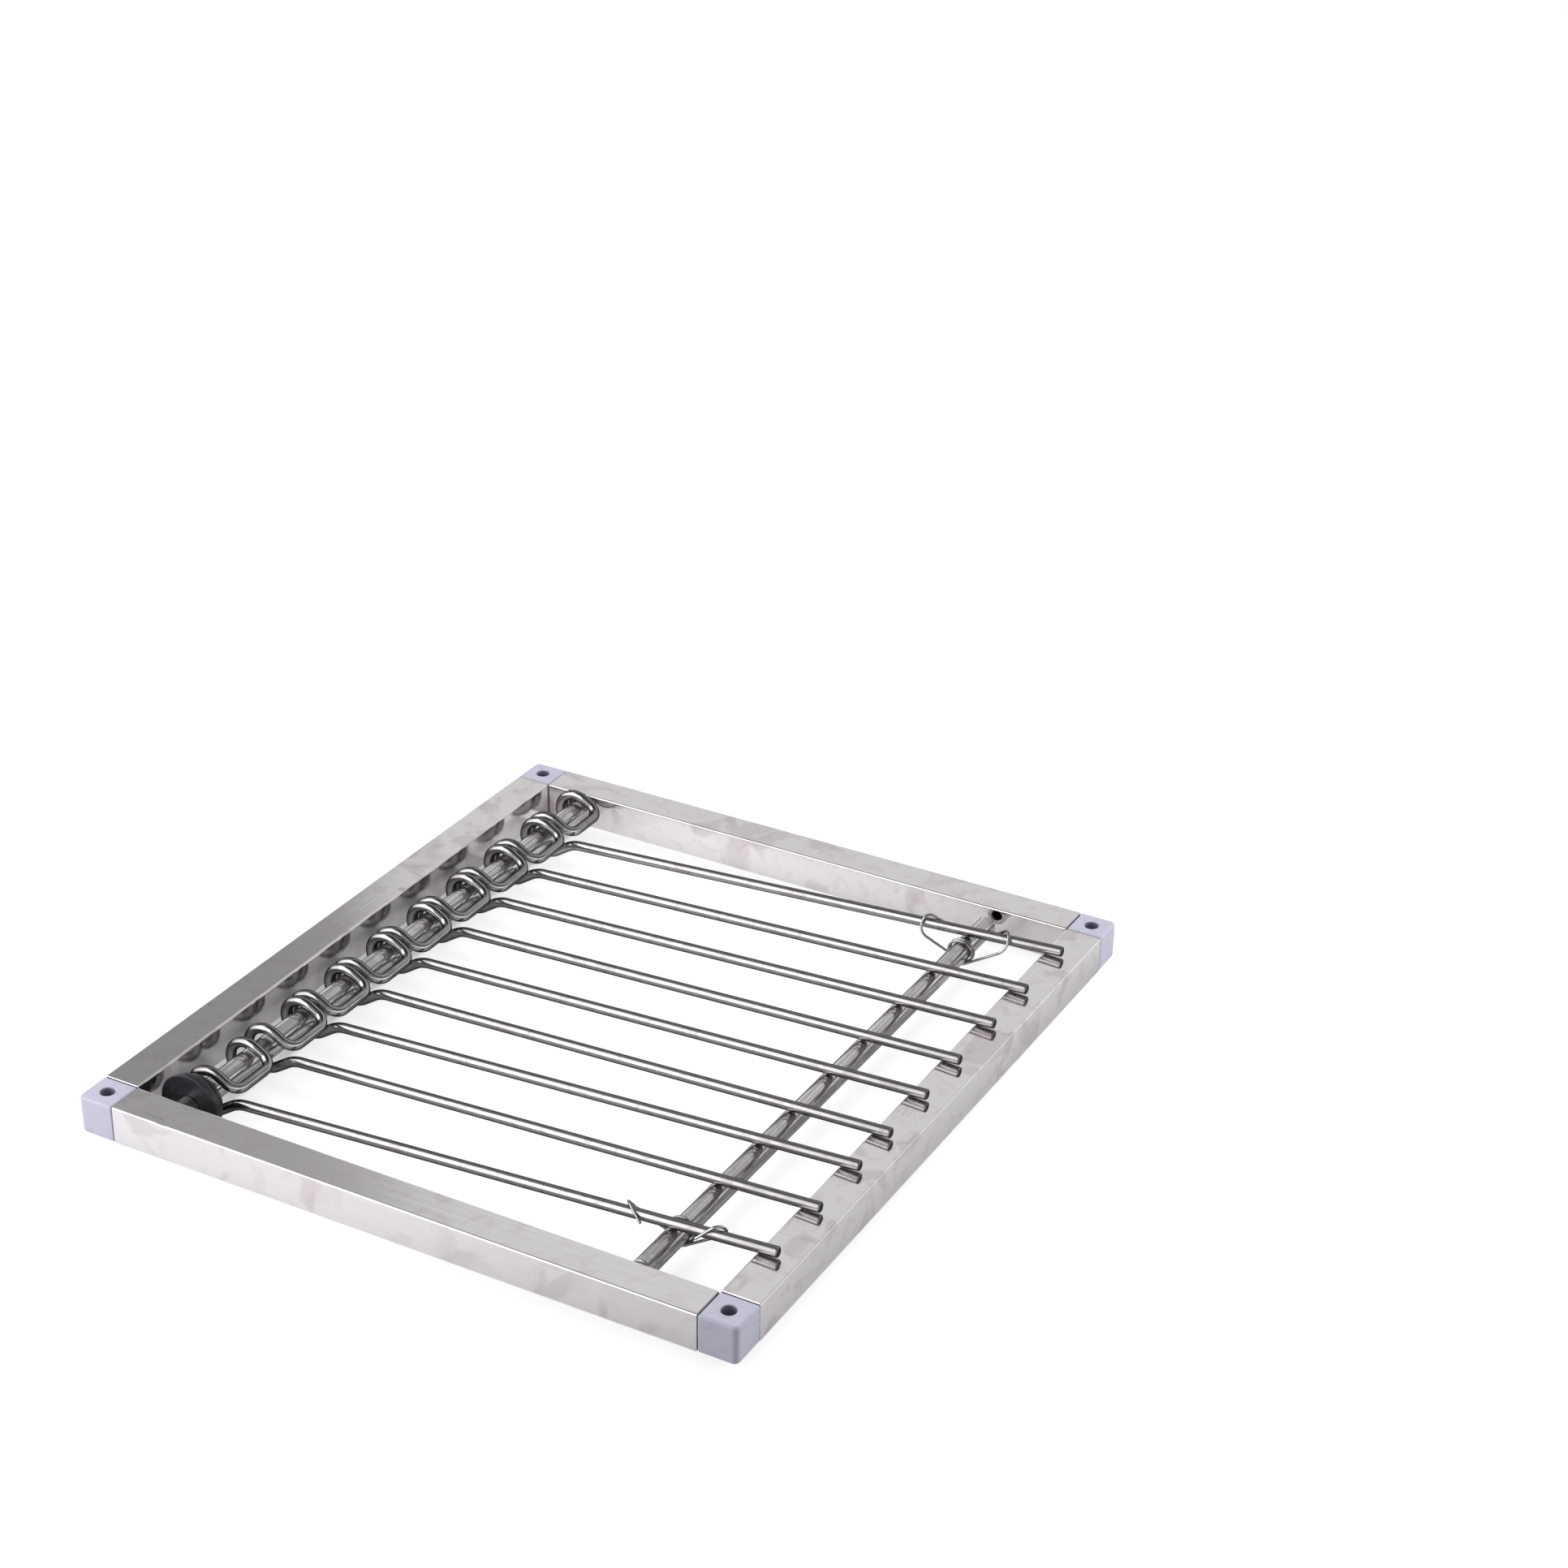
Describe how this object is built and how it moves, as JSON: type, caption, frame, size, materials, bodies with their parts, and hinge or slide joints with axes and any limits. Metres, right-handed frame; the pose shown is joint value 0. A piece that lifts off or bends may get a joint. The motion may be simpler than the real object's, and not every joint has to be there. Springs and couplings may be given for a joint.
{
  "type": "pigeon trap door",
  "caption": "Flat square-tube frame with swinging bent-wire bobs in a row on one axle, and a sprung lift bar across the rods, for a pigeon loft entrance.",
  "frame": {"origin": "middle of the frame, on the surface that the grommet's large flange touches, 5.2 mm below the frame's back face", "axes": "+X along the rods from the axle to their free ends, +Y along the axle from the grommet to the far rail, +Z out of the frame on the side that the rods lie on"},
  "size_m": [0.27, 0.3, 0.0257],
  "materials": {
    "frame_steel": "polished stainless tube, with faint hazy patches and fine scuffs",
    "axle_steel": "drawn bright bar",
    "wire_steel": "bright drawn wire, darker in the bends",
    "bar_steel": "bright tube with length-wise drawing lines",
    "clip_steel": "fine spring wire",
    "corner_plastic": "pale lavender-grey moulding",
    "grommet_rubber": "matt black"
  },
  "bodies": {
    "frame": {"top_rail": "frame_steel", "bottom_rail": "frame_steel", "side_rail_near": "frame_steel", "side_rail_far": "frame_steel", "corner_block_near_top": "corner_plastic", "corner_block_near_bottom": "corner_plastic", "corner_block_far_top": "corner_plastic", "corner_block_far_bottom": "corner_plastic", "axle": "axle_steel", "grommet": "grommet_rubber"},
    "gate": {"bob_1": "wire_steel", "bob_9": "wire_steel"},
    "lifter": {"lift_bar": "bar_steel", "clip_near": "clip_steel", "clip_far": "clip_steel"},
    "bob_2": {"bob_2": "wire_steel"},
    "bob_3": {"bob_3": "wire_steel"},
    "bob_4": {"bob_4": "wire_steel"},
    "bob_5": {"bob_5": "wire_steel"},
    "bob_6": {"bob_6": "wire_steel"},
    "bob_7": {"bob_7": "wire_steel"},
    "bob_8": {"bob_8": "wire_steel"}
  },
  "joints": [
    {"name": "gate_hinge", "type": "hinge", "parent": "frame", "child": "gate", "pos_m": [-0.104, 0, 0.0127], "axis": [0, -1, 0], "range_deg": [0, 90]},
    {"name": "bob_2_hinge", "type": "hinge", "parent": "gate", "child": "bob_2", "pos_m": [-0.104, 0, 0.0127], "axis": [0, -1, 0], "range_deg": [0, 56]},
    {"name": "bob_3_hinge", "type": "hinge", "parent": "gate", "child": "bob_3", "pos_m": [-0.104, 0, 0.0127], "axis": [0, -1, 0], "range_deg": [0, 56]},
    {"name": "bob_4_hinge", "type": "hinge", "parent": "gate", "child": "bob_4", "pos_m": [-0.104, 0, 0.0127], "axis": [0, -1, 0], "range_deg": [0, 56]},
    {"name": "bob_5_hinge", "type": "hinge", "parent": "gate", "child": "bob_5", "pos_m": [-0.104, 0, 0.0127], "axis": [0, -1, 0], "range_deg": [0, 56]},
    {"name": "bob_6_hinge", "type": "hinge", "parent": "gate", "child": "bob_6", "pos_m": [-0.104, 0, 0.0127], "axis": [0, -1, 0], "range_deg": [0, 56]},
    {"name": "bob_7_hinge", "type": "hinge", "parent": "gate", "child": "bob_7", "pos_m": [-0.104, 0, 0.0127], "axis": [0, -1, 0], "range_deg": [0, 56]},
    {"name": "bob_8_hinge", "type": "hinge", "parent": "gate", "child": "bob_8", "pos_m": [-0.104, 0, 0.0127], "axis": [0, -1, 0], "range_deg": [0, 56]},
    {"name": "lift_bar_slide", "type": "slide", "parent": "gate", "child": "lifter", "axis": [0.9984, 0.0211, 0.0529], "range_m": [-0.13, 0.008]}
  ]
}
